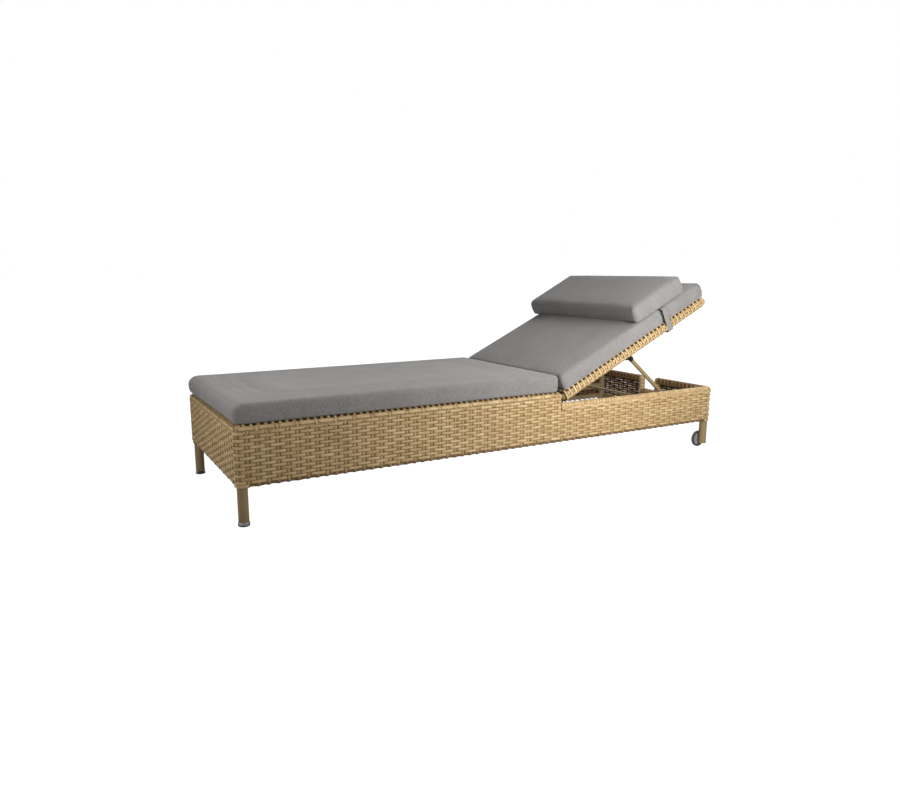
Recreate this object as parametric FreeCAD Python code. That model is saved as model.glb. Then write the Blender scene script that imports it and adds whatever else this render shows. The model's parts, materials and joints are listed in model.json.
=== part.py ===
"""Reclining sun lounger: a woven box on a welded tube frame, with a hinged backrest on a prop frame.

Millimetres, +Z up. +X runs to the head end, +Y to the right-hand side of someone lying on it.
Everything is drawn with the origin on the floor under the middle of the woven box. The wheels stand out
past the head end, so the finished pieces are moved by SHIFT, which puts the origin under the middle of
the whole length. Each node is one STEP file.
"""
import FreeCAD, Part
import math
import os

V = FreeCAD.Vector

# ---- overall sizes ----
LENGTH = 2000.0            # foot end to head end, over the weave
WIDTH = 690.0              # over the weave
APRON_Z = 118.0            # underside of the woven box
SEAT_RIM_Z = 307.0         # top of the rim beside the seat
REAR_RIM_Z = 267.0         # top of the lower rim under the backrest
SKIN = 3.0                 # thickness of the woven panels on the sides
DECK_SKIN = 3.0            # thickness of the woven seat and back panels
WRAP = 3.0                 # thickness of the strand binding on the rims

# ---- tubes ----
RIM_R = 15.0               # rim tube of the seat and of the backrest
REAR_R = 12.0              # rim tube of the rear box
WALL = 1.5                 # wall of every tube
BOTTOM_SIDE = 20.0         # side of the square bottom tubes
LEG_R = 16.0
LEG_IN = 19.5              # leg axis, in from the outer faces
GLIDE = 4.5                # height of the glide under each foot leg
CUP_R = 18.0               # foot of the metal cup round the leg's end
CUP_HEIGHT = 8.5
CROSS_R = 10.0             # seat cross bars
BACK_BAR_R = 9.0           # backrest cross bars

# ---- backrest hinge ----
HINGE_X = 216.0
HINGE_Z = SEAT_RIM_Z - RIM_R - WRAP
HINGE_TUBE_R = 12.5
HINGE_PLAY = 0.07          # radial play of the hinge tube in its blocks
RECLINE = 25.5             # stored angle of the backrest above flat
RAIL_END_X = 193.0         # fixed side rails stop here
BACK_LENGTH = 793.0        # hinge axis to the outside of the top rail

# ---- prop frame ----
PIVOT_ALONG = 367.0        # prop pivot: along the backrest from its hinge
PIVOT_BELOW = 43.0         # prop pivot: below the rail's centre line
PROP_LENGTH = 319.0        # pivot to cross bar
PROP_DROP = 40.0           # stored angle of the prop below level
KNUCKLE_R = 9.0
KNUCKLE_LENGTH = 13.0      # pivot to the start of the arm's tube
ARM_R = 8.0
ARM_Y = 298.0
BAR_R = 6.0
PIN_R = 4.0
PLAY = 0.08                # radial play on the pins and axles
STOPS = (15.0, 25.5, 33.0, 39.5)   # backrest angles that have a notch in the racks
RACK_TOP = 196.0
RACK_HEIGHT = 28.0
RACK_Y = (314.0, 318.0)

# ---- wheels ----
WHEEL_R = 34.0
WHEEL_WIDTH = 12.0
WHEEL_Y = 301.0
HUB_R = 26.0
AXLE_R = 4.0

# ---- soft parts ----
CUSHION_HALF = 333.0       # half width of both cushions
SEAT_PAD = (-994.0, 176.0, 308.0, 371.0)      # x from, x to, z from, z to
BACK_PAD = (12.0, 792.0, 19.0, 81.0)          # along the backrest, above its rail centre line
PILLOW = (424.0, 691.0, 83.5, 152.0)
PILLOW_HALF = 338.0
STRAP_X = 562.0
STRAP_WIDTH = 28.0
STRAP_T = 1.8

# ---- places worked out from those ----
HALF_L = LENGTH / 2
HALF_W = WIDTH / 2
RIM_OUT = RIM_R + WRAP
REAR_OUT = REAR_R + WRAP
RIM_Y = HALF_W - RIM_OUT
REAR_Y = HALF_W - REAR_OUT
FOOT_X = -HALF_L + RIM_OUT
HEAD_X = HALF_L - REAR_OUT
REAR_Z = REAR_RIM_Z - REAR_OUT
LEG_X = HALF_L - LEG_IN
LEG_Y = HALF_W - LEG_IN
SIDES = {"left": -1, "right": 1}
NOTCH_HALF = 50.0          # finger notch in the head end: middle to the axis of its upright tubes
NOTCH_DEPTH = 60.0
BAR_CLEAR_Z = 203.1        # height of the prop bar at rest
SHIFT = (WHEEL_R - LEG_IN) / 2

os.makedirs("parts", exist_ok=True)
nodes = {}


# ---- shapes ----
def rod(start, end, radius):
    """A round bar between two points."""
    start = V(*start)
    run = V(*end) - start
    return Part.makeCylinder(radius, run.Length, start, run)


def tube(start, end, radius, wall=WALL):
    """An open round tube between two points."""
    return rod(start, end, radius).cut(rod(start, end, radius - wall))


def block(x, y, z):
    """A box from three (low, high) pairs."""
    return Part.makeBox(x[1] - x[0], y[1] - y[0], z[1] - z[0], V(x[0], y[0], z[0]))


def square_tube(x, y, z, axis, wall=WALL):
    """A square tube along axis 0, 1 or 2, from three (low, high) pairs."""
    inner = [(low + wall, high - wall) for low, high in (x, y, z)]
    inner[axis] = (x, y, z)[axis]
    return block(x, y, z).cut(block(*inner))


def ball(centre, radius):
    return Part.makeSphere(radius, V(*centre))


def pair(low, high, side):
    """(low, high) across the width, on one side of the middle."""
    return (low, high) if side > 0 else (-high, -low)


def rounded(x, y, z, radius):
    """A box whose edges are rounded."""
    body = block(x, y, z)
    return body.makeFillet(radius, body.Edges)


def recline(shape, angle=RECLINE):
    """From the backrest's own frame (x along it, z above its rail centre line) to its place."""
    out = shape.copy()
    out.rotate(V(0, 0, 0), V(0, -1, 0), angle)
    out.translate(V(HINGE_X, 0, HINGE_Z))
    return out


def in_back_frame(along, above, angle):
    """The (x, z) place of a point given along the backrest and above its rail centre line."""
    a = math.radians(angle)
    return (HINGE_X + along * math.cos(a) - above * math.sin(a),
            HINGE_Z + along * math.sin(a) + above * math.cos(a))


def add(name, shapes):
    """A node of one solid, or of several separate ones."""
    shapes = shapes if isinstance(shapes, (list, tuple)) else [shapes]
    solids = [solid for shape in shapes for solid in shape.removeSplitter().Solids]
    nodes[name] = solids


# ---- frame of the box ----
def rim_frame():
    """The seat rim: two side rails and the foot rail, with the strand binding round each."""
    foot_core = rod((FOOT_X, -RIM_Y, HINGE_Z), (FOOT_X, RIM_Y, HINGE_Z), RIM_R)
    foot_skin = rod((FOOT_X, -RIM_Y, HINGE_Z), (FOOT_X, RIM_Y, HINGE_Z), RIM_OUT)
    for side in SIDES.values():
        foot_core = foot_core.fuse(ball((FOOT_X, side * RIM_Y, HINGE_Z), RIM_R))
        foot_skin = foot_skin.fuse(ball((FOOT_X, side * RIM_Y, HINGE_Z), RIM_OUT))
    bore = rod((FOOT_X, -RIM_Y, HINGE_Z), (FOOT_X, RIM_Y, HINGE_Z), RIM_R - WALL)
    add("foot_rail", foot_core.cut(bore))
    foot_wrap = foot_skin.cut(foot_core)
    wraps = []
    for name, side in SIDES.items():
        ends = (FOOT_X, side * RIM_Y, HINGE_Z), (RAIL_END_X, side * RIM_Y, HINGE_Z)
        add("side_rail_" + name, tube(*ends, RIM_R).cut(foot_core))
        wraps.append(tube(*ends, RIM_OUT, WRAP).cut(foot_skin))
        foot_wrap = foot_wrap.cut(rod(*ends, RIM_R))
    return wraps + [foot_wrap]


def rear_frame():
    """The lower rim round the backrest's well, with the finger notch in the head end."""
    wraps = []
    corner_cores = {}
    corner_skins = {}
    heads = []
    for name, side in SIDES.items():
        out = (HEAD_X, side * REAR_Y, REAR_Z)
        inner = (HEAD_X, side * NOTCH_HALF, REAR_Z)
        core = rod(out, inner, REAR_R).fuse(ball(out, REAR_R)).fuse(ball(inner, REAR_R))
        skin = rod(out, inner, REAR_OUT).fuse(ball(out, REAR_OUT)).fuse(ball(inner, REAR_OUT))
        heads.append(core.cut(rod(out, inner, REAR_R - WALL)))
        start = (RAIL_END_X, side * REAR_Y, REAR_Z)
        upright = rod((HEAD_X, side * NOTCH_HALF, REAR_Z - NOTCH_DEPTH), inner, REAR_R)
        wraps.append(skin.cut(core).cut(rod(start, out, REAR_R)).cut(upright))
        add("rear_side_rail_" + name, tube(start, out, REAR_R).cut(core))
        wraps.append(tube(start, out, REAR_OUT, WRAP).cut(skin))
        corner_cores[side] = core
        corner_skins[side] = skin
    add("head_rails", heads)
    low_z = REAR_Z - NOTCH_DEPTH
    low = (HEAD_X, -NOTCH_HALF, low_z), (HEAD_X, NOTCH_HALF, low_z)
    low_core = rod(*low, REAR_R)
    low_skin = rod(*low, REAR_OUT)
    for side in SIDES.values():
        low_core = low_core.fuse(ball((HEAD_X, side * NOTCH_HALF, low_z), REAR_R))
        low_skin = low_skin.fuse(ball((HEAD_X, side * NOTCH_HALF, low_z), REAR_OUT))
    frame = [low_core.cut(rod(*low, REAR_R - WALL))]
    low_wrap = low_skin.cut(low_core)
    notch_wraps = []
    for side in SIDES.values():
        ends = (HEAD_X, side * NOTCH_HALF, low_z), (HEAD_X, side * NOTCH_HALF, REAR_Z)
        frame.append(tube(*ends, REAR_R).cut(low_core).cut(corner_cores[side]))
        low_wrap = low_wrap.cut(rod(*ends, REAR_R))
        skin = tube(*ends, REAR_OUT, WRAP).cut(low_skin).cut(corner_skins[side])
        notch_wraps.append(skin)
    add("notch_frame", frame)
    return wraps, notch_wraps + [low_wrap]


def bottom_frame():
    """Square tubes round the bottom of the box."""
    z = (APRON_Z + 3, APRON_Z + 3 + BOTTOM_SIDE)
    inset = SKIN + 1.5
    out_y = HALF_W - inset
    out_x = HALF_L - inset
    for name, side in SIDES.items():
        y = pair(out_y - BOTTOM_SIDE, out_y, side)
        x = (-LEG_X + LEG_R, LEG_X - LEG_R)
        add("bottom_rail_" + name, square_tube(x, y, z, 0))
    y = (-LEG_Y + LEG_R, LEG_Y - LEG_R)
    add("bottom_rail_foot", square_tube((-out_x, -out_x + BOTTOM_SIDE), y, z, 1))
    add("bottom_rail_head", square_tube((out_x - BOTTOM_SIDE, out_x), y, z, 1))


def uprights():
    """Posts inside the side walls: amidships, at the step beside the hinge, and under the racks."""
    half = 12.5
    floor = APRON_Z + 3 + BOTTOM_SIDE
    posts = []
    for side in SIDES.values():
        y = pair(RIM_Y - half, RIM_Y + half, side)
        for x in (-400.0, RAIL_END_X - half):
            posts.append(square_tube((x - half, x + half), y, (floor, HINGE_Z - RIM_R - 0.1), 2))
    for side in SIDES.values():
        for x in (652.0, 800.0):
            y = pair(RACK_Y[1], RACK_Y[1] + BOTTOM_SIDE, side)
            posts.append(square_tube((x - 10, x + 10), y, (floor, RACK_TOP - 8), 2))
    add("posts", posts)
    return posts


def legs():
    """Four round legs; the foot pair stands on glides, the head pair carries the wheels."""
    tops = []
    pads = []
    cups = []
    for name, side in SIDES.items():
        y = side * LEG_Y
        foot = tube((-LEG_X, y, GLIDE + 0.5), (-LEG_X, y, HINGE_Z - RIM_R - 0.1), LEG_R)
        add("leg_foot_" + name, foot)
        head = tube((LEG_X, y, 20), (LEG_X, y, REAR_Z - REAR_R - 0.1), LEG_R)
        head = head.cut(rod((LEG_X, y - 2 * LEG_R * side, WHEEL_R), (LEG_X, y, WHEEL_R), AXLE_R + 0.1))
        add("leg_head_" + name, head)
        tops.append(rod((-LEG_X, y, 200), (-LEG_X, y, HINGE_Z - RIM_R), LEG_R))
        tops.append(rod((LEG_X, y, 200), (LEG_X, y, REAR_Z - REAR_R), LEG_R))
        pads.append(Part.makeCone(16.5, CUP_R, 2, V(-LEG_X, y, 0)).fuse(
            Part.makeCylinder(CUP_R, GLIDE - 2, V(-LEG_X, y, 2))))
        cup = Part.makeCone(CUP_R, LEG_R + 0.6, CUP_HEIGHT, V(-LEG_X, y, GLIDE))
        cups.append(cup.cut(rod((-LEG_X, y, GLIDE + 0.5), (-LEG_X, y, 30), LEG_R)))
    add("foot_pads", pads)
    add("foot_cups", cups)
    return tops


# ---- woven panels ----
def weave_panels(notch_solids):
    """The woven walls and the woven seat, as thin closed slabs."""
    seat_top = HINGE_Z - math.sqrt(RIM_OUT ** 2 - (RIM_OUT - SKIN) ** 2) - 0.1
    rear_top = REAR_Z - math.sqrt(REAR_OUT ** 2 - (REAR_OUT - SKIN) ** 2) - 0.1
    for name, side in SIDES.items():
        y = pair(HALF_W - SKIN, HALF_W, side)
        add("side_weave_" + name, block((-HALF_L, RAIL_END_X), y, (APRON_Z, seat_top)))
        add("rear_weave_" + name, block((RAIL_END_X, HALF_L), y, (APRON_Z, rear_top)))
    across = (-HALF_W + SKIN, HALF_W - SKIN)
    add("foot_weave", block((-HALF_L, -HALF_L + SKIN), across, (APRON_Z, seat_top)))
    head = block((HALF_L - SKIN, HALF_L), across, (APRON_Z, rear_top))
    opening = block((HALF_L - 2 * SKIN, HALF_L + SKIN), (-NOTCH_HALF, NOTCH_HALF),
                    (REAR_Z - NOTCH_DEPTH, REAR_RIM_Z))
    head = head.cut(opening)
    for solid in notch_solids:
        head = head.cut(solid)
    add("head_weave", max(head.Solids, key=lambda solid: solid.Volume))
    edge = RIM_Y - RIM_OUT - 0.5
    top = SEAT_RIM_Z - 0.5
    add("seat_deck_weave", block((FOOT_X + RIM_OUT + 0.5, 165.0), (-edge, edge), (top - DECK_SKIN, top)))


# ---- what carries the seat and the hinge ----
def cross_members():
    """Seat cross bars, the beam under the hinge, the bearing blocks and their screws."""
    bar_z = SEAT_RIM_Z - 0.5 - DECK_SKIN - CROSS_R - 0.2
    reach = RIM_Y - RIM_R + 2
    rails = [rod((FOOT_X, side * RIM_Y, HINGE_Z), (RAIL_END_X, side * RIM_Y, HINGE_Z), RIM_R)
             for side in SIDES.values()]
    bars = []
    for x in (-760.0, -450.0, -140.0, 140.0):
        bar = tube((x, -reach, bar_z), (x, reach, bar_z), CROSS_R).cut(rails[0]).cut(rails[1])
        bars.append(max(bar.Solids, key=lambda solid: solid.Volume))
    add("seat_cross_bars", bars)
    beam_side = 25.0
    beam_x = (HINGE_X - beam_side / 2, HINGE_X + beam_side / 2)
    beam_z = (235.0, 260.0)
    reach = REAR_Y - REAR_R + 3
    beam = square_tube(beam_x, (-reach, reach), beam_z, 1, 2.0)
    beam_solid = block(beam_x, (-reach, reach), beam_z)
    for side in SIDES.values():
        rail = rod((RAIL_END_X, side * REAR_Y, REAR_Z), (HEAD_X, side * REAR_Y, REAR_Z), REAR_R)
        beam = beam.cut(rail)
        beam_solid = beam_solid.cut(rail)
    screws = []
    flange_top = beam_z[1] + 6
    for name, side in SIDES.items():
        y = side * 280.0
        body = rod((HINGE_X, y - 12, HINGE_Z), (HINGE_X, y + 12, HINGE_Z), 16.5)
        body = body.fuse(block((HINGE_X - 16.5, HINGE_X + 16.5), (y - 12, y + 12), (beam_z[1], HINGE_Z)))
        body = body.fuse(block((beam_x[0], beam_x[1]), (y - 29, y + 29), (beam_z[1], flange_top)))
        body = body.cut(rod((HINGE_X, y - 40, HINGE_Z), (HINGE_X, y + 40, HINGE_Z),
                            HINGE_TUBE_R + HINGE_PLAY))
        for step in (-21.0, 21.0):
            low, high = (HINGE_X, y + step, beam_z[1] - 8), (HINGE_X, y + step, flange_top)
            body = body.cut(rod(low, (HINGE_X, y + step, flange_top + 1), 3.2))
            beam = beam.cut(rod((HINGE_X, y + step, beam_z[1] - 4), high, 3.2))
            shank = rod(low, (HINGE_X, y + step, flange_top + 1), 3.0)
            screws.append(shank.fuse(rod(high, (HINGE_X, y + step, flange_top + 3.5), 5.5)))
        add("bearing_block_" + name, body)
    add("hinge_cross_beam", beam)
    add("bearing_screws", screws)
    return bars, beam_solid


def stop_x(angle):
    """Where the prop bar lies along the racks at a backrest angle."""
    pivot_x, pivot_z = in_back_frame(PIVOT_ALONG, -PIVOT_BELOW, angle)
    return pivot_x + math.sqrt(PROP_LENGTH ** 2 - (pivot_z - BAR_CLEAR_Z) ** 2)


def racks():
    """Two notched plates that the prop bar drops into, screwed to the posts."""
    screws = []
    for name, side in SIDES.items():
        y = pair(*RACK_Y, side)
        plate = block((638.0, 970.0), y, (RACK_TOP - RACK_HEIGHT, RACK_TOP))
        for angle in STOPS:
            x = stop_x(angle)
            plate = plate.cut(rod((x, y[0] - 1, RACK_TOP - 1), (x, y[1] + 1, RACK_TOP - 1), BAR_R + 1))
        plate = plate.cut(rod((LEG_X, side * LEG_Y, 0), (LEG_X, side * LEG_Y, 300), LEG_R)).Solids[0]
        z = RACK_TOP - RACK_HEIGHT + 9
        inner = side * RACK_Y[0]
        for x in (652.0, 800.0):
            plate = plate.cut(rod((x, inner - side, z), (x, side * (RACK_Y[1] + 1), z), 2.7))
            screw = rod((x, inner, z), (x, side * (RACK_Y[1] - 0.2), z), 2.5)
            screws.append(screw.fuse(rod((x, inner - 2.5 * side, z), (x, inner, z), 4.5)))
        add("rack_" + name, plate)
    add("rack_screws", screws)


def bumpers():
    """Rubber pads on the lower rim that the backrest lies on when it is flat."""
    pads = []
    for side in SIDES.values():
        rim = rod((0, side * REAR_Y, REAR_Z), (HEAD_X, side * REAR_Y, REAR_Z), REAR_OUT)
        for x in (HINGE_X + 250.0, HINGE_X + 700.0):
            pads.append(rod((x, side * REAR_Y, REAR_RIM_Z - 3), (x, side * REAR_Y, REAR_RIM_Z + 3.5), 7).cut(rim))
    add("bumpers", pads)


# ---- backrest, in its own frame ----
def backrest():
    """Rails, top rail, hinge tube, cross bars, woven panel, binding, prop brackets and their pins."""
    top_x = BACK_LENGTH - RIM_OUT
    top = (top_x, -RIM_Y, 0), (top_x, RIM_Y, 0)
    top_core = rod(*top, RIM_R)
    top_skin = rod(*top, RIM_OUT)
    for side in SIDES.values():
        top_core = top_core.fuse(ball((top_x, side * RIM_Y, 0), RIM_R))
        top_skin = top_skin.fuse(ball((top_x, side * RIM_Y, 0), RIM_OUT))
    add("back_top_rail", recline(top_core.cut(rod(*top, RIM_R - WALL))))
    reach = RIM_Y - RIM_R + 2
    cores = []
    top_wrap = top_skin.cut(top_core)
    wraps = []
    for name, side in SIDES.items():
        ends = (0, side * RIM_Y, 0), (top_x, side * RIM_Y, 0)
        core = rod(*ends, RIM_R).fuse(ball(ends[0], RIM_R))
        skin = rod(*ends, RIM_OUT).fuse(ball(ends[0], RIM_OUT))
        cores.append(core)
        add("back_rail_" + name, recline(core.cut(rod(*ends, RIM_R - WALL)).cut(top_core)))
        wraps.append(skin.cut(core).cut(top_skin))
        top_wrap = top_wrap.cut(core)
    bar_z = 4.0
    bars = [tube((x, -reach, bar_z), (x, reach, bar_z), BACK_BAR_R) for x in (170.0, PIVOT_ALONG, 575.0)]
    hinge = tube((0, -reach, 0), (0, reach, 0), HINGE_TUBE_R)
    bars = [bar.cut(cores[0]).cut(cores[1]) for bar in bars]
    hinge = hinge.cut(cores[0]).cut(cores[1])
    add("back_cross_bars", [recline(bar) for bar in bars])
    add("back_hinge_tube", recline(hinge))
    for x, z, radius in [(0, 0, HINGE_TUBE_R)] + [(x, bar_z, BACK_BAR_R) for x in (170.0, PIVOT_ALONG, 575.0)]:
        across = rod((x, -reach, z), (x, reach, z), radius)
        wraps = [wrap.cut(across) for wrap in wraps]
    add("back_wraps", [recline(wrap) for wrap in wraps + [top_wrap]])
    edge = RIM_Y - RIM_OUT - 0.5
    panel = block((14.0, top_x - RIM_OUT - 0.5), (-edge, edge), (14.5, 14.5 + DECK_SKIN))
    add("back_weave", recline(panel))
    brackets = []
    pins = []
    bar = rod((PIVOT_ALONG, -reach, bar_z), (PIVOT_ALONG, reach, bar_z), BACK_BAR_R)
    for side in SIDES.values():
        plate_y = pair(280.0, 284.0, side)
        plate = block((PIVOT_ALONG - 11, PIVOT_ALONG + 11), plate_y, (-PIVOT_BELOW, bar_z))
        plate = plate.fuse(rod((PIVOT_ALONG, plate_y[0], -PIVOT_BELOW),
                               (PIVOT_ALONG, plate_y[1], -PIVOT_BELOW), 11))
        bore = rod((PIVOT_ALONG, side * 270, -PIVOT_BELOW), (PIVOT_ALONG, side * 320, -PIVOT_BELOW), PIN_R + 0.05)
        brackets.append(recline(plate.cut(bar).cut(bore)))
        pin = rod((PIVOT_ALONG, side * 277, -PIVOT_BELOW), (PIVOT_ALONG, side * 311, -PIVOT_BELOW), PIN_R)
        for low, high in ((276.5, 279.7), (308.5, 311.5)):
            pin = pin.fuse(rod((PIVOT_ALONG, side * low, -PIVOT_BELOW),
                               (PIVOT_ALONG, side * high, -PIVOT_BELOW), 6))
        pins.append(recline(pin))
    add("prop_brackets", brackets)
    add("prop_pins", pins)


# ---- prop frame, in its own frame ----
def prop():
    """Two arms joined by a cross bar, hung on the backrest by plastic knuckles."""
    pivot = in_back_frame(PIVOT_ALONG, -PIVOT_BELOW, RECLINE)

    def place(shape):
        out = shape.copy()
        out.rotate(V(0, 0, 0), V(0, 1, 0), PROP_DROP)
        out.translate(V(pivot[0], 0, pivot[1]))
        return out

    bar = rod((PROP_LENGTH, -320, 0), (PROP_LENGTH, 320, 0), BAR_R)
    add("prop_bar", place(bar))
    knuckles = []
    for name, side in SIDES.items():
        y = side * ARM_Y
        arm = tube((KNUCKLE_LENGTH, y, 0), (PROP_LENGTH + 7, y, 0), ARM_R).cut(bar)
        add("prop_arm_" + name, place(max(arm.Solids, key=lambda solid: solid.Volume)))
        knuckle = rod((0, y - 9.7, 0), (0, y + 9.7, 0), KNUCKLE_R)
        knuckle = knuckle.fuse(rod((0, y, 0), (KNUCKLE_LENGTH, y, 0), KNUCKLE_R))
        knuckle = knuckle.cut(rod((0, y - 12, 0), (0, y + 12, 0), PIN_R + PLAY))
        knuckles.append(place(knuckle))
    add("prop_knuckles", knuckles)


# ---- wheels ----
def wheels():
    """A hub and a tyre on each head leg, inside it, on a shouldered bolt."""
    bolts = []
    for name, side in SIDES.items():
        y = side * WHEEL_Y
        half = WHEEL_WIDTH / 2
        hub = rod((LEG_X, y - half, WHEEL_R), (LEG_X, y + half, WHEEL_R), HUB_R - 0.1)
        hub = hub.cut(rod((LEG_X, y - half, WHEEL_R), (LEG_X, y + half, WHEEL_R), AXLE_R + PLAY))
        add("wheel_hub_" + name, hub)
        tyre = rod((LEG_X, y - half, WHEEL_R), (LEG_X, y + half, WHEEL_R), WHEEL_R)
        tyre = tyre.makeFillet(3.5, [edge for edge in tyre.Edges if len(edge.Vertexes) == 1
                                     or edge.Curve.TypeId == "Part::GeomCircle"])
        tyre = tyre.cut(rod((LEG_X, y - half, WHEEL_R), (LEG_X, y + half, WHEEL_R), HUB_R))
        add("wheel_tyre_" + name, tyre)
        bolt = rod((LEG_X, side * (WHEEL_Y - half - 4.5), WHEEL_R), (LEG_X, side * (LEG_Y - 2), WHEEL_R), AXLE_R)
        bolt = bolt.fuse(rod((LEG_X, side * (WHEEL_Y - half - 4.5), WHEEL_R),
                             (LEG_X, side * (WHEEL_Y - half - 0.5), WHEEL_R), 9))
        collar = rod((LEG_X, side * (WHEEL_Y + half + 0.5), WHEEL_R), (LEG_X, side * (LEG_Y - 10), WHEEL_R), 7)
        leg = rod((LEG_X, side * LEG_Y, 0), (LEG_X, side * LEG_Y, 80), LEG_R)
        bolts.append(bolt.fuse(collar.cut(leg)))
    add("axle_bolts", bolts)


# ---- soft parts ----
def soft_parts():
    """Plain closed solids for the cushions, the pillow and the strap round the backrest."""
    x0, x1, z0, z1 = SEAT_PAD
    add("seat_cushion", rounded((x0, x1), (-CUSHION_HALF, CUSHION_HALF), (z0, z1), 12))
    x0, x1, z0, z1 = BACK_PAD
    add("back_cushion", recline(rounded((x0, x1), (-CUSHION_HALF, CUSHION_HALF), (z0, z1), 12)))
    x0, x1, z0, z1 = PILLOW
    add("headrest_pillow", recline(rounded((x0, x1), (-PILLOW_HALF, PILLOW_HALF), (z0, z1), 12)))
    x = (STRAP_X - STRAP_WIDTH / 2, STRAP_X + STRAP_WIDTH / 2)
    top = BACK_PAD[3] + 0.3
    out = HALF_W + 0.2
    low = -RIM_OUT - 0.5
    strap = [block(x, (-CUSHION_HALF, CUSHION_HALF), (top, top + STRAP_T)),
             block(x, (-out, out), (low - STRAP_T, low))]
    for side in SIDES.values():
        corners = [(CUSHION_HALF + 0.4, top), (CUSHION_HALF + 0.4 + STRAP_T, top), (out + STRAP_T, 8.0), (out, 8.0)]
        points = [V(x[0], side * y, z) for y, z in corners + corners[:1]]
        strap.append(Part.Face(Part.makePolygon(points)).extrude(V(STRAP_WIDTH, 0, 0)))
        strap.append(block(x, pair(out, out + STRAP_T, side), (low - STRAP_T, 8.0)))
    add("headrest_strap", [recline(piece) for piece in strap])


# ---- the whole lounger ----
rim_wraps = rim_frame()
rear_wraps, notch_wraps = rear_frame()
bottom_frame()
post_solids = uprights()
leg_solids = legs()
bar_solids, beam_solid = cross_members()
for cutter in post_solids + leg_solids + bar_solids + [beam_solid]:
    rim_wraps = [wrap.cut(cutter) for wrap in rim_wraps]
    rear_wraps = [wrap.cut(cutter) for wrap in rear_wraps]
add("rim_wraps", [max(wrap.Solids, key=lambda solid: solid.Volume) for wrap in rim_wraps])
add("rear_wraps", [max(wrap.Solids, key=lambda solid: solid.Volume) for wrap in rear_wraps])
add("notch_wraps", notch_wraps)
weave_panels(notch_wraps)
racks()
bumpers()
backrest()
prop()
wheels()
soft_parts()

for node, solids in nodes.items():
    shape = solids[0].copy() if len(solids) == 1 else Part.makeCompound(solids)
    shape.translate(V(-SHIFT, 0, 0))
    if not all(solid.isValid() for solid in solids):
        print("not valid:", node)
    shape.exportStep("parts/" + node + ".step")
print(len(nodes), "nodes,", sum(len(solids) for solids in nodes.values()), "solids")
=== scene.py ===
"""Reclining sun lounger: the woven strands, the cushions and the finishes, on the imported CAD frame.

Metres, +Z up, +X to the head end, -Y the near side. Woven parts are real strands, each a crowned ribbon
that passes over and under what it crosses. Places come from the CAD nodes' boxes.
"""

import json
import math

import bpy
import numpy as np
from mathutils import Matrix, Vector


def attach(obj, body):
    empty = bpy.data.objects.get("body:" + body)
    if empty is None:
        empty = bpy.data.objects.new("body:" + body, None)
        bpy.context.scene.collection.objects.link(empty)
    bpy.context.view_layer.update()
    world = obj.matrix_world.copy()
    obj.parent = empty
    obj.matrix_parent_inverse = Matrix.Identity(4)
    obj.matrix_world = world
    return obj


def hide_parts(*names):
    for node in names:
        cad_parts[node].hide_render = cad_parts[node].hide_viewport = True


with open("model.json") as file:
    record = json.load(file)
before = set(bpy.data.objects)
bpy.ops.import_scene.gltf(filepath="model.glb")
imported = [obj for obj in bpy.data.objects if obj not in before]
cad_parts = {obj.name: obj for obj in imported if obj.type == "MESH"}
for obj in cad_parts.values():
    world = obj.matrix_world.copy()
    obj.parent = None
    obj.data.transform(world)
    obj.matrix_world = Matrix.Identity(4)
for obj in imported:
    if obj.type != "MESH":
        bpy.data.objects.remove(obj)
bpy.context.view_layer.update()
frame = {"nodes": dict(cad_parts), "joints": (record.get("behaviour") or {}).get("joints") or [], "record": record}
nodes = frame["nodes"]
joints = {joint["name"]: joint for joint in frame["joints"]}

# ---- sizes of the strands ----
ROW = 0.01057              # height of one woven row
WEFT = 0.0106              # width of a row's strand where it lies on top
STAKE = 0.0110             # width of an upright strand
STAKE_PITCH = 0.0308       # wished spacing of the upright strands
STRAND = 0.0013            # thickness at a strand's edge
CROWN = 0.0018             # how far its middle stands above that
THIN = 0.0010              # thickness of an upright, and of the strands under the cushions
OVER = 0.0029              # from the middle of the weave to a strand on top
UNDER = 0.0017             # and to one behind
WEAVE_DEPTH = 0.0031       # middle of the weave, in from the outer face of the box
FIRST_ROW_Z = 0.0171       # middle of the lowest row, above the box's lower edge
EDGE_ROW = 0.0145          # width of the closing strand along the top of a long wall
HEADER_RISE = 0.0078       # its middle, above the rim tube's centre line
FOOT_EDGE_ROW = 0.0105     # the same two for the foot end
FOOT_HEADER_RISE = 0.0060
REAR_EDGE_ROW = 0.0118     # width of the closing strand along the low rear walls
LOWER_EDGE_ROW = 0.0100    # width of the dark strand along the lower edge
CORNER_ROW = 0.0125        # width of the short strand round the foot of each corner
CORNER_REACH = 0.030       # how far it runs to each side
SEAT_CORNER = 0.018        # corner radius of the box in plan
STEP_CORNER = 0.007        # corner where the seat rows turn in at the step
STEP_RETURN = 0.030        # how far they turn in
DECK_PITCH = 0.0305        # spacing of the lengthwise strands under the cushions
DECK_ROW = 0.0108          # and of those across
STRAP_THICKNESS = 0.0016

# ---- how a row's strand goes under: 0 on top of an upright, 1 behind the next ----
DIVE = 0.62                # where it starts down
EDGE_DIVE = 0.66           # and where a closing strand does
DIVE_LENGTH = 0.36         # how much of the way it takes
TIGHT = -0.24              # how much narrower it gets in the long walls and the foot end, where it spreads
OPEN = 0.16                # and in the head end, which is woven more openly
FOOT_LIFT = 0.5            # how much further strands stand out round the foot end

# ---- strands bound round the tubes ----
BIND_PITCH = 0.0109        # their spacing
BIND = 0.0104              # their width
BIND_THICKNESS = 0.0012
BIND_CROWN = 0.0009
SPINE_CROWN = 0.0010       # crown of the strand along the backrest's rails
BOUND = 0.0014             # from a tube's surface to the middle of the strand bound round it
REAR_PITCH = 0.0152        # spacing and width on the low side rims, which are bound more loosely
REAR_BIND = 0.0120
AROUND = np.radians(np.arange(0, 360, 15.0))
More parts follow.
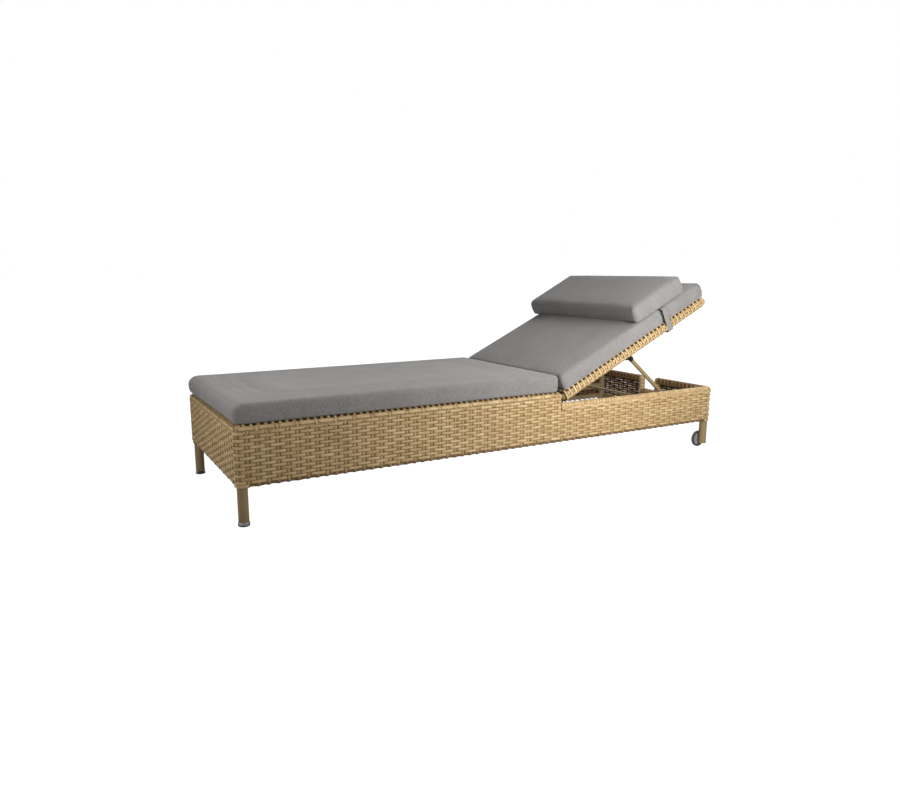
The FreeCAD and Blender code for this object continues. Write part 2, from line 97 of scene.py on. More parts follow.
# (angle, spread, depth) of the hollows in every second strand, which binding() darkens with painted shade
NOTCHES = [(70, 42, 0.0022)]        # of the seat rim
BACK_NOTCHES = [(72, 25, 0.0032)]   # of the backrest's rails
REAR_NOTCHES = [(150, 60, 0.0013)]  # of the low rims at the head, on their inner side
BACK_THICK = 0.0030        # how much thicker the backrest's binding is on its outer and upper side
BACK_SPINE = (-8, 22)      # angle and spread of the strand along the backrest's rails

# ---- shades, which are painted shade in the hollows of the weave ----
EDGE_SHADE = 0.34          # painted shade: how much darker a strand is along its edges
BACK_SHADE = 0.24          # painted shade of a strand's back, which faces into the box
DIVE_SHADE = 0.72          # painted shade: how much darker a strand is where it goes behind an upright
STAKE_SHADE = 0.80         # painted shade of the uprights, which lie deeper
TUCK_SHADE = 0.30          # painted shade of their ends, and of the strand along the lower edge
SHADE_SHEET_TONE = 0.22        # painted shade of the dark sheet behind the seat's walls, which stands for the shade inside the box

UP = np.array([0, 0, 1.0])

# ---- the backrest's own frame: x along it, z above its rail centre line ----
hinge = joints["backrest_hinge"]
RECLINE = math.radians(-hinge["range_deg"][0])
BACK = Matrix.Translation(hinge["pos_m"]) @ Matrix.Rotation(-RECLINE, 4, "Y")
BASE = Matrix.Identity(4)


def box_in(node, matrix=BASE):
    """Lowest and highest corner of a CAD node, in the frame that the matrix places."""
    inverse = matrix.inverted()
    spots = np.array([inverse @ vertex.co for vertex in nodes[node].data.vertices])
    return spots.min(0), spots.max(0)


def smooth(value):
    """0 below 0, 1 above 1, and a smooth rise between."""
    value = np.clip(value, 0, 1)
    return value * value * (3 - 2 * value)


def in_space(plan, z=0.0):
    """Points or directions in plan, with a height."""
    return np.column_stack([plan, np.broadcast_to(z, len(plan))])


def straight(start, end):
    """The start, unit direction and length of a straight run."""
    start = np.array(start, float)
    run = np.array(end, float) - start
    length = np.linalg.norm(run)
    return start, run / length, length


# ---- places read from the frame ----
panel_low, panel_high = box_in("side_weave_left")
rim_low, rim_high = box_in("side_rail_left")
rear_rail_low, rear_rail_high = box_in("rear_side_rail_left")
notch_low, notch_high = box_in("notch_wraps")
FOOT_X = panel_low[0]
HEAD_X = box_in("rear_weave_left")[1][0]
STEP_X = panel_high[0]
HALF_WIDTH = -panel_low[1]
BOTTOM_Z = panel_low[2]
RIM_Y = -(rim_low[1] + rim_high[1]) / 2
RIM_Z = (rim_low[2] + rim_high[2]) / 2
RIM_R = (rim_high[2] - rim_low[2]) / 2
REAR_Y = -(rear_rail_low[1] + rear_rail_high[1]) / 2
REAR_Z = (rear_rail_low[2] + rear_rail_high[2]) / 2
REAR_R = (rear_rail_high[2] - rear_rail_low[2]) / 2
RIM_IN = HALF_WIDTH - RIM_Y           # from the outer face to the rim tube's centre line
FOOT_RAIL_X = FOOT_X + RIM_IN
HEAD_RAIL_X = HEAD_X - HALF_WIDTH + REAR_Y
# whole rows that fit under the closing strands
SEAT_ROWS = round((RIM_Z + HEADER_RISE - BOTTOM_Z - FIRST_ROW_Z) / ROW - 0.3)
REAR_ROWS = round((REAR_Z - 0.005 - BOTTOM_Z - FIRST_ROW_Z) / ROW)
NOTCH_R = REAR_R + 0.003              # the notch's tube with its binding
NOTCH_Y = (notch_high[1] - notch_low[1]) / 2 - NOTCH_R
NOTCH_Z = notch_low[2] + NOTCH_R


# ---- meshes ----
def new_object(name, mesh, material, smooth_faces=True):
    """A mesh object in the scene, with its material."""
    piece = bpy.data.objects.new(name, mesh)
    bpy.context.scene.collection.objects.link(piece)
    mesh.materials.append(material)
    if smooth_faces:
        mesh.polygons.foreach_set("use_smooth", np.ones(len(mesh.polygons), bool))
    return piece


def make_mesh(name, spots, faces, marks=None, shades=None):
    """A mesh from points and groups of faces of one size each, with a vector and a shade for every point."""
    mesh = bpy.data.meshes.new(name)
    faces = [group for group in faces if len(group)]
    corners = np.concatenate([group.ravel() for group in faces])
    sizes = np.concatenate([np.full(len(group), group.shape[1]) for group in faces])
    mesh.vertices.add(len(spots))
    mesh.vertices.foreach_set("co", np.ascontiguousarray(spots, np.float32).ravel())
    mesh.loops.add(len(corners))
    mesh.loops.foreach_set("vertex_index", corners.astype(np.int32))
    mesh.polygons.add(len(sizes))
    mesh.polygons.foreach_set("loop_start", np.concatenate([[0], np.cumsum(sizes)[:-1]]).astype(np.int32))
    for label, kind, key, values in (("strand", "FLOAT_VECTOR", "vector", marks),
                                     ("shade", "FLOAT", "value", shades)):
        if values is not None:
            attribute = mesh.attributes.new(label, kind, "POINT")
            attribute.data.foreach_set(key, np.ascontiguousarray(values, np.float32).ravel())
    mesh.update(calc_edges=True)
    mesh.validate()
    return mesh


# a strand's section: across it, part of its thickness, part of its crown
SECTION = np.array([(-1, 0, 0), (-0.7, 0.5, 0.6), (0, 0.5, 1), (0.7, 0.5, 0.6),
                    (1, 0, 0), (0.7, -0.5, 0), (0, -0.5, 0), (-0.7, -0.5, 0)])


class Strands:
    """Collects strands that become one piece."""

    def __init__(self, seed):
        self.random = np.random.default_rng(seed)
        self.spots, self.marks, self.shades, self.quads, self.ends = [], [], [], [], []
        self.count = 0

    def add(self, line, across, out, width=WEFT, thickness=STRAND, crown=CROWN, closed=False, shade=1.0):
        """One strand along a line of points, or several of one shape along (strands, points, 3).

        across is the way of its width, and out the way that its crowned face looks. shade is painted shade: 1
        on open faces and less in the hollows of the weave.
        """
        if np.ndim(line) == 2:
            line = line[None]
        line, across, out = np.broadcast_arrays(line, across, out)
        strands, points, _ = line.shape
        size = len(SECTION)
        width = np.broadcast_to(width, (strands, points))[:, :, None, None]
        crown = np.broadcast_to(crown, (strands, points))[:, :, None, None]
        aside = SECTION[:, 0, None] * width / 2
        lift = SECTION[:, 1, None] * thickness + SECTION[:, 2, None] * crown
        spots = line[:, :, None] + across[:, :, None] * aside + out[:, :, None] * lift
        steps = np.linalg.norm(np.diff(line, axis=1), axis=2)
        along = np.concatenate([np.zeros((strands, 1)), np.cumsum(steps, axis=1)], axis=1)
        marks = np.empty((strands, points, size, 3))
        marks[..., 0] = along[:, :, None]
        marks[..., 1] = SECTION[:, 0]
        marks[..., 2] = self.random.random((strands, 1, 1))
        place = self.count + np.arange(strands * points * size).reshape(strands, points, size)
        around = np.concatenate([place, place[:, :, :1]], axis=2)
        if closed:
            around = np.concatenate([around, around[:, :1]], axis=1)
        quads = np.stack([around[:, :-1, :-1], around[:, :-1, 1:], around[:, 1:, 1:], around[:, 1:, :-1]], -1)
        ends = np.concatenate([place[:, 0, ::-1], place[:, -1]])
        middle = points // 2
        run = line[:, middle] - line[:, middle - 1]
        turn = np.einsum("ij,ij->i", np.cross(across[:, middle], run), out[:, middle])
        if turn.mean() < 0:
            quads, ends = quads[..., ::-1], ends[:, ::-1]
        self.spots.append(spots.reshape(-1, 3))
        self.marks.append(marks.reshape(-1, 3))
        # painted shade on every strand's back, which faces into the box
        around_shades = np.where(SECTION[:, 1] < 0, BACK_SHADE, 1)
        self.shades.append((np.broadcast_to(shade, (strands, points))[:, :, None] * around_shades).ravel())
        self.quads.append(quads.reshape(-1, 4))
        if not closed:
            self.ends.append(ends)
        self.count += strands * points * size

    def build(self, name, body, slot, replaced=(), matrix=BASE):
        """The collected strands as one piece that rides on a body."""
        faces = [np.concatenate(self.quads)] + ([np.concatenate(self.ends)] if self.ends else [])
        mesh = make_mesh(name, np.concatenate(self.spots), faces, np.concatenate(self.marks),
                         np.concatenate(self.shades))
        mesh.transform(matrix)
        piece = new_object(name, mesh, materials[slot])
        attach(piece, body)
        if replaced:
            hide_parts(*replaced)
        return piece


class Route:
    """A route of straight stretches joined by round corners, in a plane, followed by its length."""

    def __init__(self, corners, radii):
        corners = np.asarray(corners, float)
        runs = np.diff(corners, axis=0)
        headings = np.unwrap(np.arctan2(runs[:, 1], runs[:, 0]))
        spots, angles = [corners[0]], [headings[0]]
        for corner, radius, before, after in zip(corners[1:-1], radii, headings[:-1], headings[1:]):
            turn = after - before
            reach = radius * math.tan(abs(turn) / 2)
            start = corner - reach * np.array([math.cos(before), math.sin(before)])
            side = math.copysign(radius, turn)
            centre = start + side * np.array([-math.sin(before), math.cos(before)])
            for heading in np.linspace(before, after, 13):
                spots.append(centre + side * np.array([math.sin(heading), -math.cos(heading)]))
                angles.append(heading)
        spots.append(corners[-1])
        angles.append(headings[-1])
        self.spots, self.angles = np.array(spots), np.array(angles)
        gaps = np.linalg.norm(np.diff(self.spots, axis=0), axis=1)
        self.lengths = np.concatenate([[0], np.cumsum(gaps)])
        self.length = self.lengths[-1]

    def at(self, length):
        """The points, and the unit vectors to the left of the way, at these lengths."""
        spots = np.stack([np.interp(length, self.lengths, self.spots[:, axis]) for axis in (0, 1)], -1)
        angle = np.interp(length, self.lengths, self.angles)
        return spots, np.stack([-np.sin(angle), np.cos(angle)], -1)


# ---- materials ----
def node_material(name, base, roughness, **sockets):
    """A material with its shader, and short ways to add nodes to it."""
    material = bpy.data.materials.new(name)
    material.use_nodes = True
    tree = material.node_tree
    shader = tree.nodes["Principled BSDF"]
    shader.inputs["Base Color"].default_value = (*base, 1)
    shader.inputs["Roughness"].default_value = roughness
    for socket, value in sockets.items():
        shader.inputs[socket.replace("_", " ")].default_value = value
    return material, tree, shader


def add_node(tree, kind, inputs=(), **settings):
    """A node with its settings; inputs pair a socket with a value or with another node's output."""
    node = tree.nodes.new(kind)
    for key, value in settings.items():
        setattr(node, key, value)
    for socket, value in dict(inputs).items():
        if isinstance(value, bpy.types.NodeSocket):
            tree.links.new(value, node.inputs[socket])
        else:
            node.inputs[socket].default_value = value
    return node


def math_node(tree, operation, *values):
    return add_node(tree, "ShaderNodeMath", enumerate(values), operation=operation).outputs[0]


def times(tree, *values):
    return math_node(tree, "MULTIPLY", *values)


def plus(tree, *values):
    return math_node(tree, "ADD", *values)


def vector_node(tree, operation, *values):
    return add_node(tree, "ShaderNodeVectorMath", enumerate(values), operation=operation).outputs[0]


def combined(tree, x, y, z):
    return add_node(tree, "ShaderNodeCombineXYZ", {"X": x, "Y": y, "Z": z}).outputs[0]


def noise(tree, place, detail, scale=1.0, roughness=0.5):
    return add_node(tree, "ShaderNodeTexNoise", {
        "Vector": place, "Scale": scale, "Detail": detail, "Roughness": roughness}).outputs["Fac"]


def map_range(tree, value, low, high, start=0.0, end=1.0):
    """The value's range from low to high, spread over start to end."""
    return add_node(tree, "ShaderNodeMapRange", {
        "Value": value, "From Min": low, "From Max": high, "To Min": start, "To Max": end}).outputs[0]


def ramp(tree, factor, stops):
    """A colour ramp from (place, colour) stops."""
    node = add_node(tree, "ShaderNodeValToRGB", {"Fac": factor})
    elements = node.color_ramp.elements
    while len(elements) < len(stops):
        elements.new(0.5)
    for element, (place, colour) in zip(elements, stops):
        element.position = place
        element.color = (*colour, 1)
    return node.outputs["Color"]


def bump(tree, shader, height, distance, strength):
    node = add_node(tree, "ShaderNodeBump", {"Height": height, "Strength": strength, "Distance": distance})
    tree.links.new(node.outputs["Normal"], shader.inputs["Normal"])


def strand_material(name, dark, middle, light):
    """Extruded flat strand: fine streaks, a tone that drifts along it, and painted shade from the shade attribute.
    """
    material, tree, shader = node_material(name, middle, 0.46, IOR=1.45)
    mark = add_node(tree, "ShaderNodeAttribute", attribute_name="strand").outputs["Vector"]
    along, across, seed = add_node(tree, "ShaderNodeSeparateXYZ", {"Vector": mark}).outputs
    shifted = times(tree, seed, 631.0)
    fine = combined(tree, times(tree, along, 14.0), times(tree, across, 3.4), shifted)
    streaks = noise(tree, fine, 4.0, roughness=0.62)
    drift = noise(tree, combined(tree, times(tree, along, 19.0), 0.0, shifted), 1.0)
    tone = plus(tree, times(tree, streaks, 0.62), times(tree, drift, 0.38))
    colour = ramp(tree, tone, [(0.30, dark), (0.50, middle), (0.68, light)])
    # painted shade: hollows are darker and a little redder, and so are the strand's edges
    shade = add_node(tree, "ShaderNodeAttribute", attribute_name="shade").outputs["Fac"]
    depth = combined(tree, math_node(tree, "POWER", shade, 0.85), shade, math_node(tree, "POWER", shade, 1.2))
    rounding = math_node(tree, "POWER", math_node(tree, "ABSOLUTE", across), 3.0)
    edge = math_node(tree, "SUBTRACT", 1.0, times(tree, rounding, EDGE_SHADE))
    shaded = add_node(tree, "ShaderNodeVectorMath", {
        0: vector_node(tree, "MULTIPLY", colour, depth), "Scale": edge}, operation="SCALE")
    tree.links.new(shaded.outputs[0], shader.inputs["Base Color"])
    tree.links.new(map_range(tree, streaks, 0.0, 1.0, 0.38, 0.60), shader.inputs["Roughness"])
    grooves = combined(tree, times(tree, along, 30.0), times(tree, across, 9.0), shifted)
    bump(tree, shader, noise(tree, grooves, 2.0), 0.0004, 0.7)
    return material


def fabric_material(name, base, thread=0.0011, contrast=0.256):
    """Melange outdoor cloth: a plain weave of short threads with lighter and darker flecks."""
    material, tree, shader = node_material(name, base, 0.92, IOR=1.4, Sheen_Weight=0.25, Sheen_Roughness=0.5)
    place = add_node(tree, "ShaderNodeAttribute", attribute_name="strand").outputs["Vector"]
    turned = vector_node(tree, "MULTIPLY", place, (2 * math.pi / thread,) * 3)
    x, y, z = add_node(tree, "ShaderNodeSeparateXYZ", {"Vector": vector_node(tree, "SINE", turned)}).outputs
    weave = plus(tree, times(tree, x, y), times(tree, z, plus(tree, x, y)))
    flecks, flecks_across = [
        noise(tree, vector_node(tree, "MULTIPLY", place, stretch), 2.0, roughness=0.6)
        for stretch in ((150.0, 420.0, 300.0), (420.0, 150.0, 300.0))]
    clouds = noise(tree, place, 3.0, scale=11.0)
    tone = plus(tree, times(tree, plus(tree, flecks, flecks_across), 0.42), times(tree, clouds, 0.16))
    base = np.array(base)
    colour = ramp(tree, tone, [(0.36, base * (1 - contrast)), (0.5, base), (0.64, base * (1 + contrast))])
    tree.links.new(colour, shader.inputs["Base Color"])
    bump(tree, shader, plus(tree, times(tree, weave, 0.25), flecks), 0.0004, 0.8)
    return material


def coated_material(name, base, roughness, grain, depth, spread=0.06, **sockets):
    """Coated, moulded or metal finish: a fine grain in height and roughness and a slight drift of tone."""
    material, tree, shader = node_material(name, base, roughness, **sockets)
    place = add_node(tree, "ShaderNodeTexCoord").outputs["Object"]
    fine = noise(tree, place, 2.0, scale=grain)
    wide = noise(tree, place, 4.0, scale=23.0)
    base = np.array(base)
    colour = ramp(tree, wide, [(0.3, base * (1 - spread)), (0.7, np.minimum(base * (1 + spread), 1))])
    tree.links.new(colour, shader.inputs["Base Color"])
    rough = map_range(tree, wide, 0.3, 0.7, max(roughness - 0.06, 0.02), roughness + 0.08)
    tree.links.new(rough, shader.inputs["Roughness"])
    bump(tree, shader, fine, depth, 0.6)
    return material


materials = {
    "woven_strand": strand_material("woven_strand", (0.45, 0.275, 0.115), (0.74, 0.515, 0.25),
                                    (0.95, 0.76, 0.44)),
    "cushion_fabric": fabric_material("cushion_fabric", (0.33, 0.318, 0.308)),
    "strap_webbing": fabric_material("strap_webbing", (0.33, 0.315, 0.300), thread=0.0018),
    "powder_coat_bronze": coated_material("powder_coat_bronze", (0.385, 0.275, 0.135), 0.42, 1400.0, 0.0002,
                                          IOR=1.5),
    "stainless": coated_material("stainless", (0.56, 0.55, 0.54), 0.30, 900.0, 0.0001, Metallic=1.0),
    "chrome_cup": coated_material("chrome_cup", (0.72, 0.72, 0.72), 0.14, 300.0, 0.00003, Metallic=1.0),
    "black_plastic": coated_material("black_plastic", (0.022, 0.021, 0.021), 0.45, 1100.0, 0.0002),
    "rubber_tan": coated_material("rubber_tan", (0.42, 0.33, 0.20), 0.75, 1300.0, 0.0002, spread=0.15),
    "black_steel": coated_material("black_steel", (0.035, 0.034, 0.033), 0.42, 900.0, 0.0001, Metallic=0.6),
    "wheel_grey": coated_material("wheel_grey", (0.40, 0.385, 0.42), 0.38, 700.0, 0.0001),
    "wheel_tyre": coated_material("wheel_tyre", (0.10, 0.10, 0.11), 0.6, 1200.0, 0.0002, spread=0.12),
}
for part in frame["record"]["subparts"]:
    if part["material_slot"] in materials:
        nodes[part["node"]].data.materials.clear()
        nodes[part["node"]].data.materials.append(materials[part["material_slot"]])


# ---- the woven walls ----
def strand_shape(share, dive=DIVE, taper=TIGHT, dark=DIVE_SHADE):
    """Height, width and painted shade of a strand, from 0 on top of an upright to 1 behind the next."""
    drop = smooth((share - dive) / DIVE_LENGTH)
    lift = OVER * np.cos(1.25 * share) * (1 - drop) - UNDER * drop
    narrow = 1 - taper * smooth((share - dive + 0.14) / DIVE_LENGTH)
    # painted shade where the strand goes behind an upright
    shade = 1 - dark * smooth((share - dive + 0.02) / 0.26)
    return lift, narrow, shade


# where a row's strand has points, from the upright that it lies on (0) to the ones beside it
STATIONS = np.array([-0.9, -0.8, -0.7, -0.6, -0.4, -0.2, 0, 0.2, 0.4, 0.6, 0.7, 0.8, 0.9, 1.0])

lower_corners = [(STEP_X, -HALF_WIDTH), (FOOT_X, -HALF_WIDTH), (FOOT_X, HALF_WIDTH), (HEAD_X, HALF_WIDTH),
                 (HEAD_X, -HALF_WIDTH), (STEP_X, -HALF_WIDTH)]
lower_route = Route(lower_corners, [SEAT_CORNER] * 4)
upper_corners = [(STEP_X, STEP_RETURN - HALF_WIDTH)] + lower_corners[:3] + [
    (STEP_X, HALF_WIDTH), (STEP_X, HALF_WIDTH - STEP_RETURN)]
upper_route = Route(upper_corners, [STEP_CORNER, SEAT_CORNER, SEAT_CORNER, STEP_CORNER])
upper_start = STEP_RETURN - STEP_CORNER * (2 - math.pi / 2)
# where the four corners lie along the lower route, at their middles
corner_lengths = [STEP_X - FOOT_X - SEAT_CORNER * (1 - math.pi / 4)]
for stretch in (2 * HALF_WIDTH, HEAD_X - FOOT_X, 2 * HALF_WIDTH):
    corner_lengths.append(corner_lengths[-1] + stretch - SEAT_CORNER * (2 - math.pi / 2))
# an upright strand stands at each corner, and a whole number of gaps lies between two corners
end_gaps = round((corner_lengths[1] - corner_lengths[0]) / STAKE_PITCH)
side_gaps = round((corner_lengths[2] - corner_lengths[1]) / STAKE_PITCH)
stake_knots = np.cumsum([-side_gaps, side_gaps, end_gaps, side_gaps, end_gaps, side_gaps])
length_knots = np.array([corner_lengths[3] - lower_route.length] + corner_lengths
                        + [corner_lengths[0] + lower_route.length])


def stake_length(number):
    """Where an upright strand stands along the route; they are numbered from the near foot corner."""
    return np.interp(number, stake_knots, length_knots)


def stake_number(length):
    return np.interp(length, length_knots, stake_knots)


def stakes_between(first, last):
    """Numbers of the upright strands between two lengths."""
    return np.arange(math.ceil(stake_number(first)), math.ceil(stake_number(last)))


def share_at(length, row):
    """0 where a row's strand lies on top of an upright, 1 where it is behind one."""
    away = (stake_number(length) + row) % 2
    return min(away, 2 - away)


def row_stations(row, first, last):
    """Where a row's strand has points between two lengths, and its share of the way down at each."""
    low, high = math.floor(stake_number(first)) - 2, math.ceil(stake_number(last)) + 2
    tops = np.array([number for number in range(low, high) if (number + row) % 2 == 0])
    lengths = stake_length((tops[:, None] + STATIONS).ravel())
    keep = (lengths > first + 0.0005) & (lengths < last - 0.0005)
    return lengths[keep], np.tile(np.abs(STATIONS), len(tops))[keep]


def weave_row(strands, route, start, row, first, last, z, width=WEFT, lift_by=1.0, depth=WEAVE_DEPTH,
              dive=DIVE, taper=TIGHT, dark=DIVE_SHADE, base=1.0):
    """One woven row from length first to last along the route."""
    lengths, share = row_stations(row, first, last)
    lengths = np.concatenate([[first], lengths, [last]])
    share = np.concatenate([[share_at(first, row)], share, [share_at(last, row)]])
    lift, narrow, shade = strand_shape(share, dive, taper, dark)
    # hand-made rows vary a little in width and height
    wobble = 1 + 0.03 * np.sin(lengths * 37.0 + row * 2.4) + 0.02 * np.sin(lengths * 91.0 + row * 5.1)
    stray = 0.0003 * np.sin(lengths * 53.0 + row * 1.7)
    spots, out = route.at(lengths + start)
    from_foot_end = np.maximum(corner_lengths[0] - lengths, lengths - corner_lengths[1])
    lift = lift * lift_by * (1 + FOOT_LIFT * smooth(1 - from_foot_end / 0.06))
    line = in_space(spots + out * (lift - depth)[:, None], z + stray)
    crown = CROWN * (1 - 0.6 * smooth((share - dive + 0.1) / DIVE_LENGTH))
    strands.add(line, UP, in_space(out), width * narrow * wobble, STRAND, crown, shade=shade * base)


def rim_header(strands, first, last, rise, width, row=SEAT_ROWS):
    """The closing strand that lies on the shoulder of the seat rim, and the uprights that cross over it."""
    radius = RIM_R + BOUND
    tilt = math.asin(rise / radius)
    lengths, share = row_stations(row, first, last)
    lift, narrow, shade = strand_shape(share, EDGE_DIVE, 0.10, 0.62)
    spots, out = lower_route.at(lengths)
    out = in_space(out)
    facing = out * math.cos(tilt) + UP * math.sin(tilt)
    line = in_space(spots, RIM_Z) - out * RIM_IN + facing * (radius + 0.0012 + lift * 0.45)[:, None]
    strands.add(line, UP * math.cos(tilt) - out * math.sin(tilt), facing, width * narrow, STRAND, CROWN * 0.8,
                shade=shade)
    numbers = stakes_between(first, last)
    spots, out = lower_route.at(stake_length(numbers[(numbers + row) % 2 == 1]))
    out = in_space(out)
    # an upright that crosses over: its points' angles round the tube, and their heights above it
    angles = tilt + np.array([-0.78, -0.62, -0.40, 0, 0.36, 0.52]) * width / radius * 1.25
    heights = np.array([-0.0020, 0.0002, 0.0021, 0.0029, 0.0016, -0.0012])
    facing = out[:, None] * np.cos(angles)[:, None] + UP * np.sin(angles)[:, None]
    line = (in_space(spots, RIM_Z) - out * RIM_IN)[:, None] + facing * (radius + heights)[:, None]
    strands.add(line, np.cross(out, UP)[:, None], facing, STAKE * 0.9, THIN, 0.0007, shade=0.92)


def upright_strands(strands, numbers, top):
    """Upright strands that bow in behind the rows on top of them and tuck in under the bottom edge."""
    z = np.arange(BOTTOM_Z + 0.004, top, ROW / 4)
    spots, out = lower_route.at(stake_length(numbers))
    bow = -0.0005 * np.cos(math.pi * ((z - BOTTOM_Z - FIRST_ROW_Z) / ROW + numbers[:, None]))
    line = np.empty((len(numbers), len(z), 3))
    line[:, :, :2] = spots[:, None] + out[:, None] * (bow - WEAVE_DEPTH)[:, :, None]
    line[:, :, 2] = z
    # the tucked end: how far each point lies in from the face and above the edge, and how far it faces down
    tuck = [(0.024, 0.0006, 1.0), (0.010, 0.0002, 1.0), (0.004, 0.0008, 0.8)]
    under = [in_space(spots - out * (inset + WEAVE_DEPTH), BOTTOM_Z + height) for inset, height, down in tuck]
    turned = [in_space(out * math.sqrt(1 - down * down), -down) for inset, height, down in tuck]
    line = np.concatenate([np.stack(under, 1), line], axis=1)
    facing = np.repeat(in_space(out)[:, None], len(z), axis=1)
    facing = np.concatenate([np.stack(turned, 1), facing], axis=1)
    # painted shade: darker towards the tucked ends at the bottom edge
    above_edge = smooth((line[:, :, 2] - BOTTOM_Z) / 0.012 - 0.2)
    strands.add(line, np.cross(in_space(out), UP)[:, None], facing, STAKE, THIN, 0.0006,
                shade=TUCK_SHADE + (STAKE_SHADE - TUCK_SHADE) * above_edge)


# where the far side's step and the two sides of the finger notch lie along the lower route
far_step = corner_lengths[1] + STEP_X - FOOT_X - SEAT_CORNER * (1 - math.pi / 4)
head_middle = (corner_lengths[2] + corner_lengths[3]) / 2
notch = (head_middle - NOTCH_Y, head_middle + NOTCH_Y)


def beside_notch(parts):
    """The stretches with the finger notch left out."""
    kept = []
    for first, last in parts:
        kept += [(first, notch[0]), (notch[1], last)] if first < notch[0] < last else [(first, last)]
    return kept


def wall_rows(strands, parts, seat_parts, taper):
    """A wall's rows: its whole stretches up to the rear rim, and above that the ones beside the seat."""
    for row in range(SEAT_ROWS):
        z = BOTTOM_Z + FIRST_ROW_Z + row * ROW
        if row < REAR_ROWS:
            for ends in beside_notch(parts) if z > NOTCH_Z else parts:
                weave_row(strands, lower_route, 0, row, *ends, z, taper=taper)
        else:
            for first, last in seat_parts:
                # these rows start and end with the turn at a step
                first = first if first > 0 else -upper_start
                last = last if last < far_step else last + upper_start
                weave_row(strands, upper_route, upper_start, row, first, last, z)


def shade_sheet(strands, seat_parts):
    """A dark sheet behind the walls round the seat, where the weave is tight: painted shade seen through gaps."""
    low, high = BOTTOM_Z + 0.014, RIM_Z - 0.010
    for first, last in seat_parts:
        spots, out = lower_route.at(np.linspace(first, min(last, far_step - 0.004), 60))
        line = in_space(spots - out * 0.0078, (low + high) / 2)
        strands.add(line, UP, in_space(out), high - low, 0.0006, 0.0002, shade=SHADE_SHEET_TONE)


def lower_edge(strands, parts):
    """The strand along the lower edge, painted dark as shade, and a wide strand round the foot of the corners."""
    for first, last in parts:
        # painted shade: this strand is darkened all along
        weave_row(strands, lower_route, 0, 1, first, last, BOTTOM_Z + 0.0075, LOWER_EDGE_ROW, 0.3, 0.0062,
                  dark=0.75, base=TUCK_SHADE)
        for corner in corner_lengths:
            ends = max(first, corner - CORNER_REACH), min(last, corner + CORNER_REACH)
            if ends[1] > ends[0]:
                weave_row(strands, lower_route, 0, 1, *ends, BOTTOM_Z + 0.0062, CORNER_ROW, 0.4, 0.0030,
                          dive=1.4)


def wall_uprights(strands, parts):
    """A wall's upright strands, each as high as the rim above it."""
    for first, last in parts:
        numbers = stakes_between(first, last)
        lengths = stake_length(numbers)
        in_seat = lengths < far_step
        in_notch = (lengths > notch[0] - 0.010) & (lengths < notch[1] + 0.010)
        for group, top in ((in_seat, RIM_Z - 0.004), (~in_seat & ~in_notch, REAR_Z - 0.006),
                           (in_notch, NOTCH_Z - 0.010)):
            if group.any():
                upright_strands(strands, numbers[group], top)


def walls():
    """The four woven walls: rows all round, more rows round the seat, closing strands and uprights."""
    stretches = {
        "left": [(0, corner_lengths[0]), (corner_lengths[3], lower_route.length)],
        "foot": [(corner_lengths[0], corner_lengths[1])],
        "right": [(corner_lengths[1], corner_lengths[2])],
        "head": [(corner_lengths[2], corner_lengths[3])],
    }
    replaced = {
        "left": ["side_weave_left", "rear_weave_left"], "foot": ["foot_weave"],
        "right": ["side_weave_right", "rear_weave_right"], "head": ["head_weave"],
    }
    for seed, (wall, parts) in enumerate(stretches.items(), start=1):
        seat_parts = [(first, min(last, far_step)) for first, last in parts if first < far_step]
        rear_parts = [(max(first, far_step), last) for first, last in parts if last > far_step]
        rise, width = (FOOT_HEADER_RISE, FOOT_EDGE_ROW) if wall == "foot" else (HEADER_RISE, EDGE_ROW)
        strands = Strands(seed)
        wall_rows(strands, parts, seat_parts, OPEN if wall == "head" else TIGHT)
        # a dark sheet of painted shade behind the seat's walls
        shade_sheet(strands, seat_parts)
        lower_edge(strands, parts)
        for first, last in seat_parts:
            rim_header(strands, first + 0.001, last - 0.001, rise, width)
        for ends in beside_notch(rear_parts):
            weave_row(strands, lower_route, 0, REAR_ROWS, *ends, REAR_Z - 0.0052, REAR_EDGE_ROW, 0.7, 0.0008,
                      dive=EDGE_DIVE, dark=0.30)
        wall_uprights(strands, parts)
        strands.build("weave_" + wall, "base", "woven_strand", replaced[wall])


walls()


# ---- the bindings ----
def degrees_from(angle):
    """How far each point round a binding is from an angle."""
    return np.abs((np.degrees(AROUND) - angle + 180) % 360 - 180)


